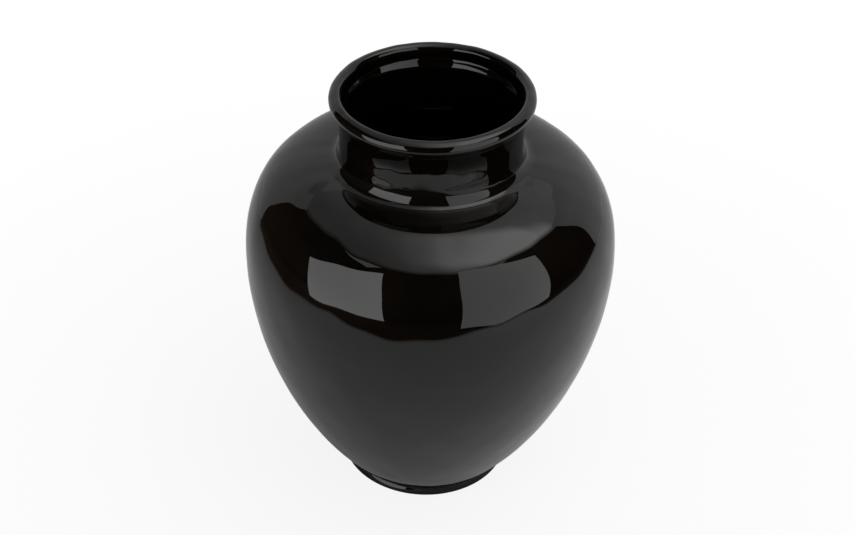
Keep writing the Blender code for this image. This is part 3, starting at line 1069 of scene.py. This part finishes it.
@dataclass
class Studio:
    """Floor, reflectors, flags, lit panels and camera."""

    camera_lens: float = 1500.0 / PHOTO_WIDTH * 36.0
    camera_elevation: float = math.radians(36.634769)
    camera_distance: float = 1.026795
    camera_roll: float = math.radians(1.72079)
    camera_target: tuple[float, float, float] = (-0.001415, 0.0, 0.158814)
    table: tuple[tuple[float, float], ...] = (
        (-1.30, 1.30),
        (-1.11, 0.67),
        (-0.88, 0.47),
        (-0.65, -0.05),
        (-0.52, -0.40),
        (0.05, -0.53),
        (0.68, -0.77),
        (0.87, -0.19),
        (0.98, 0.25),
        (1.18, 0.58),
        (1.36, 1.30),
    )
    cloth_fade: float = 0.05
    cloth_reach: float = 6.0
    flag_colour: tuple[float, float, float] = (0.050, 0.035, 0.024)
    left_flag_colour: tuple[float, float, float] = (0.175, 0.135, 0.100)
    left_flag_reach: tuple[float, float] = (-1.20, -0.30)
    room_half: float = 2.0
    room_height: float = 2.4
    panel_outline: tuple[tuple[float, float], ...] = (
        (-1.20, 1.60),
        (-1.14, 0.80),
        (-1.08, 0.42),
        (-0.98, 0.08),
        (-0.94, -0.24),
        (-0.86, -0.58),
        (-0.54, -1.03),
        (-0.10, -1.24),
        (0.40, -1.10),
        (0.70, -0.86),
        (0.96, -0.52),
        (1.16, -0.22),
        (1.32, 0.25),
        (1.40, 0.80),
        (1.40, 1.60),
        (-1.20, 1.60),
    )
    panel_fade: float = 0.10
    panel_height: float = 1.30
    panel_slope_reach: float = 0.65
    panel_left_radiance: float = 0.42
    panel_right_radiance: float = 1.00
    panel_back_share: float = 0.85
    panel_dim_reach: tuple[float, float] = (0.30, 0.75)
    bright_radiance: float = 1.75
    bright_reach: tuple[float, float] = (-0.42, 0.55)
    bright_front: tuple[float, float] = (-1.10, -0.55)
    bright_back: tuple[float, float] = (0.12, 0.40)
    sweep_radius: float = 1.30
    sweep_right: tuple[float, float] = (112.0, 102.0)
    sweep_left: tuple[float, float] = (240.0, 239.0)
    sweep_low_radiance: float = 0.40
    sweep_high_radiance: float = 0.60
    sweep_fade: tuple[float, float] = (0.85, 1.30)
    sweep_top_share: float = 0.85
    sweep_sides: tuple[float, float] = (0.94, 1.36)
    floor_radius: float = 6.0
    floor_colour: float = 0.72
    background: float = 1.00
    near_glow: float = 0.88
    near_fade: tuple[float, float] = (0.08, 0.55)
    far_fade: tuple[float, float] = (1.00, 2.00)
    softboxes: tuple[Softbox, ...] = (
        Softbox(
            "left_softbox",
            ((-0.70, -0.31, 0.02), (-1.16, -0.32, 0.55), (-0.57, -1.06, 1.01), (-0.36, -0.90, 0.02)),
            2.6,
            2.3,
        ),
        Softbox(
            "right_softbox",
            ((1.12, -0.44, 0.02), (1.14, -0.37, 0.92), (0.37, -0.94, 1.20), (0.21, -0.70, 0.02)),
            1.3,
            1.8,
        ),
    )

    def add_stage(
        self, name: str, points: np.ndarray, material: bpy.types.Material, seen: bool = False
    ) -> bpy.types.Object:
        """A sheet of the studio from a grid of points.

        Args:
            name: name of the object.
            points: grid of positions, two grid axes and one of x, y, z.
            material: its material.
            seen: whether the camera sees it.

        Returns:
            The object.
        """
        rows, columns = points.shape[:2]
        index = np.arange(rows * columns).reshape(rows, columns)
        quads = np.stack((index[:-1, :-1], index[1:, :-1], index[1:, 1:], index[:-1, 1:]), axis=-1)
        mesh = bpy.data.meshes.new(name)
        mesh.from_pydata(points.reshape(-1, 3).tolist(), [], quads.reshape(-1, 4).tolist())
        mesh.materials.append(material)
        sheet = bpy.data.objects.new(name, mesh)
        bpy.context.scene.collection.objects.link(sheet)
        sheet.visible_camera = seen
        return sheet

    def share_rows(self, sheet: bpy.types.Object, shares: tuple[float, ...]) -> None:
        """Give each row of a sheet's points a share, which its material reads as an attribute.

        Args:
            sheet: the sheet.
            shares: one share for each row.
        """
        values = np.repeat(shares, len(sheet.data.vertices) // len(shares))
        sheet.data.attributes.new(EDGE, "FLOAT", "POINT").data.foreach_set("value", values)

    def black_cloth(self) -> bpy.types.Material:
        """Matt cloth, less black towards the left, that is as pale as the floor at its soft edge.

        Returns:
            The material.
        """
        material, bench = new_material("black_cloth")
        place = bench.add("ShaderNodeTexCoord").outputs["Object"]
        across = bench.add("ShaderNodeSeparateXYZ", {0: place}).outputs["X"]
        left = bench.ramp(across, *self.left_flag_reach, 1.0, 0.0)
        dark = bench.blend(left, self.flag_colour, self.left_flag_colour)
        edge = bench.add("ShaderNodeAttribute", attribute_name=EDGE).outputs["Fac"]
        values = {0: edge, 6: grey(self.floor_colour), 7: dark}
        colour = bench.add("ShaderNodeMix", values, data_type="RGBA").outputs[2]
        shader = bench.add("ShaderNodeBsdfDiffuse", {"Color": colour})
        bench.add("ShaderNodeOutputMaterial", {"Surface": shader.outputs[0]})
        return material

    def lit_softbox(self, box: Softbox, inner_edge: float, outer_edge: float) -> bpy.types.Material:
        """Lit panel that goes from one radiance to another across its width.

        Args:
            box: the softbox.
            inner_edge: x of the edge towards the middle.
            outer_edge: x of the edge away from it.

        Returns:
            The material.
        """
        material, bench = new_material(box.name)
        place = bench.add("ShaderNodeTexCoord").outputs["Object"]
        across = bench.add("ShaderNodeSeparateXYZ", {0: place}).outputs["X"]
        strength = bench.ramp(across, inner_edge, outer_edge, box.inner_radiance, box.outer_radiance)
        shader = bench.add("ShaderNodeEmission", {"Strength": strength})
        bench.add("ShaderNodeOutputMaterial", {"Surface": shader.outputs[0]})
        return material

    def lit_overhead(self) -> bpy.types.Material:
        """Overhead panel, brighter to the right, brightest in front there, dim behind, soft at its edge.

        Returns:
            The material.
        """
        material, bench = new_material("overhead_light")
        place = bench.add("ShaderNodeTexCoord").outputs["Object"]
        parts = bench.add("ShaderNodeSeparateXYZ", {0: place}).outputs
        reach = self.panel_slope_reach
        left, right = self.panel_left_radiance, self.panel_right_radiance
        slope = bench.ramp(parts["X"], -reach, reach, left, right)
        dim = bench.ramp(parts["Y"], *self.panel_dim_reach, 1.0, self.panel_back_share, smooth=True)
        slope = bench.maths("MULTIPLY", slope, dim)
        bright = bench.ramp(parts["X"], *self.bright_reach, 0.0, self.bright_radiance, smooth=True)
        front = bench.ramp(parts["Y"], *self.bright_front, 0.0, 1.0, smooth=True)
        back = bench.ramp(parts["Y"], *self.bright_back, 1.0, 0.0, smooth=True)
        bright = bench.maths("MULTIPLY", bright, front)
        strength = bench.maths("MULTIPLY_ADD", bright, back, slope)
        edge = bench.add("ShaderNodeAttribute", attribute_name=EDGE)
        strength = bench.maths("MULTIPLY", strength, edge.outputs["Fac"])
        shader = bench.add("ShaderNodeEmission", {"Strength": strength})
        bench.add("ShaderNodeOutputMaterial", {"Surface": shader.outputs[0]})
        return material

    def lit_sweep(self) -> bpy.types.Material:
        """Sheet behind the vase that is brighter upwards, but for its top, and towards the right.

        Returns:
            The material.
        """
        material, bench = new_material("white_sweep")
        place = bench.add("ShaderNodeTexCoord").outputs["Object"]
        parts = bench.add("ShaderNodeSeparateXYZ", {0: place}).outputs
        low, high = self.sweep_low_radiance, self.sweep_high_radiance
        level = bench.ramp(parts["Z"], 0.0, self.panel_height, low, high)
        top = bench.ramp(parts["Z"], *self.sweep_fade, 1.0, self.sweep_top_share, smooth=True)
        level = bench.maths("MULTIPLY", level, top)
        reach = self.sweep_radius
        side = bench.ramp(parts["X"], -reach, reach, *self.sweep_sides)
        shader = bench.add("ShaderNodeEmission", {"Strength": bench.maths("MULTIPLY", level, side)})
        bench.add("ShaderNodeOutputMaterial", {"Surface": shader.outputs[0]})
        return material

    def pale_floor(self) -> bpy.types.Material:
        """Pale matt floor that keeps the shadow, and that the camera sees fade into an even white.

        Returns:
            The material.
        """
        material, bench = new_material("pale_floor")
        place = bench.add("ShaderNodeTexCoord")
        away = bench.add("ShaderNodeVectorMath", {0: place.outputs["Object"]}, operation="LENGTH")
        near = bench.ramp(away.outputs["Value"], *self.near_fade, self.near_glow, 1.0)
        far = bench.ramp(away.outputs["Value"], *self.far_fade, 0.0, 1.0)
        path = bench.add("ShaderNodeLightPath").outputs
        mirrored = bench.maths("MAXIMUM", path["Is Glossy Ray"], path["Is Transmission Ray"])
        mirrored = bench.maths("MULTIPLY", mirrored, far)
        glow = bench.maths("MULTIPLY_ADD", path["Is Camera Ray"], near, mirrored)
        matt = bench.add("ShaderNodeBsdfDiffuse", {"Color": grey(self.floor_colour)})
        even = bench.add("ShaderNodeEmission", {"Color": grey(self.background), "Strength": 1.0})
        shader = bench.add("ShaderNodeMixShader", {0: glow, 1: matt.outputs[0], 2: even.outputs[0]})
        bench.add("ShaderNodeOutputMaterial", {"Surface": shader.outputs[0]})
        return material

    def build_world(self) -> None:
        """Even pale background that gives no light of its own."""
        world = bpy.data.worlds.new("studio_world")
        bpy.context.scene.world = world
        world.use_nodes = True
        bench = NodeBench(world.node_tree)
        path = bench.add("ShaderNodeLightPath").outputs
        mirrored = bench.maths("MAXIMUM", path["Is Glossy Ray"], path["Is Transmission Ray"])
        seen = bench.maths("MAXIMUM", path["Is Camera Ray"], mirrored)
        shader = bench.add("ShaderNodeBackground", {"Color": grey(self.background), "Strength": seen})
        bench.add("ShaderNodeOutputWorld", {"Surface": shader.outputs[0]})

    def build_floor(self) -> None:
        """Round floor, as rings of points from its middle outwards."""
        radius = np.linspace(0.0, self.floor_radius, 3)[:, None]
        angle = np.linspace(0.0, 2 * math.pi, 65)[None, :]
        points = np.stack((radius * np.cos(angle), radius * np.sin(angle), 0 * radius * angle), axis=-1)
        self.add_stage("pale_floor", points, self.pale_floor(), seen=True)

    def build_flags(self) -> None:
        """Black cloth past three edges of the table, and black flags on the same three sides."""
        black = self.black_cloth()
        half, lift, high = self.room_half, 0.0005, self.room_height
        corners = np.array(((-half, half), (-half, -half), (half, -half), (half, half)))
        shares = np.array((1 - self.cloth_fade, 1 + self.cloth_fade, self.cloth_reach))
        cloth = shares[:, None, None] * np.array(self.table)
        sheet = self.add_stage("black_cloth", np.dstack((cloth, np.full(cloth.shape[:2], lift))), black)
        self.share_rows(sheet, (0.0, 1.0, 1.0))
        walls = np.array((corners, corners))
        heights = np.array((0.0, high))[:, None] + np.zeros(len(corners))
        sheet = self.add_stage("black_flags", np.dstack((walls, heights)), black)
        self.share_rows(sheet, (1.0, 1.0))

    def round_the_vase(self, azimuth: np.ndarray, radius: float, height: np.ndarray) -> np.ndarray:
        """Points at a radius from the axis: x is the sine and y minus the cosine of the azimuth.

        Args:
            azimuth: degrees from the camera's side towards the right.
            radius: distance from the axis.
            height: heights, of the same shape.

        Returns:
            Positions in a last array axis.
        """
        angle = np.radians(azimuth)
        return np.stack((radius * np.sin(angle), -radius * np.cos(angle), height), axis=-1)

    def build_lights(self) -> None:
        """Overhead panel, white sweep behind, and two softboxes in front."""
        outline = np.array(self.panel_outline)
        shares = np.array((1 + self.panel_fade, 1 - self.panel_fade, 0.0))
        panel = shares[:, None, None] * outline
        overhead = np.dstack((panel, np.full(panel.shape[:2], self.panel_height)))
        sheet = self.add_stage("overhead_panel", overhead, self.lit_overhead())
        self.share_rows(sheet, (0.0, 1.0, 1.0))
        azimuth = np.linspace(self.sweep_right, self.sweep_left, 33).T
        height = np.array((0.0, self.panel_height))[:, None] + np.zeros(33)
        sweep = self.round_the_vase(azimuth, self.sweep_radius, height)
        self.add_stage("white_sweep", sweep, self.lit_sweep())
        for box in self.softboxes:
            low_outer, high_outer, high_inner, low_inner = box.corners
            points = np.array(((low_inner, high_inner), (low_outer, high_outer)))
            self.add_stage(box.name, points, self.lit_softbox(box, *points[..., 0].mean(axis=1)))

    def build_camera(self) -> None:
        """Camera at the photograph's viewing angle, turned a little about its own axis."""
        back = Vector((0.0, -math.cos(self.camera_elevation), math.sin(self.camera_elevation)))
        right = Vector((1.0, 0.0, 0.0))
        up = right.cross(-back)
        turn, lift = math.cos(self.camera_roll), math.sin(self.camera_roll)
        matrix = Matrix((turn * right + lift * up, turn * up - lift * right, back)).transposed().to_4x4()
        matrix.translation = Vector(self.camera_target) + self.camera_distance * back
        data = bpy.data.cameras.new("photo_camera")
        data.sensor_width = 36.0
        data.sensor_fit = "HORIZONTAL"
        data.lens = self.camera_lens
        camera = bpy.data.objects.new("photo_camera", data)
        bpy.context.scene.collection.objects.link(camera)
        camera.matrix_world = matrix
        bpy.context.scene.camera = camera

    def build(self) -> None:
        """Set the whole studio up."""
        self.build_world()
        self.build_floor()
        self.build_flags()
        self.build_lights()
        self.build_camera()


def form_from_frame() -> VaseForm:
    """Sizes of the form that the CAD nodes give.

    Returns:
        The form, with its height, belly and foot from the CAD.
    """
    ring_low, ring_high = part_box("foot_ring")
    return VaseForm(
        foot_height=ring_high.z - ring_low.z, belly_radius=CAD_HIGH.x, total_height=CAD_HIGH.z
    )


def main() -> None:
    """Build the vase and its studio in order."""
    logging.basicConfig(level=logging.INFO, format="%(name)s %(message)s")
    bpy.context.scene.view_settings.view_transform = "Standard"
    VaseBody(form_from_frame(), PottersHand()).build()
    Studio().build()


if __name__ == "__main__":
    main()
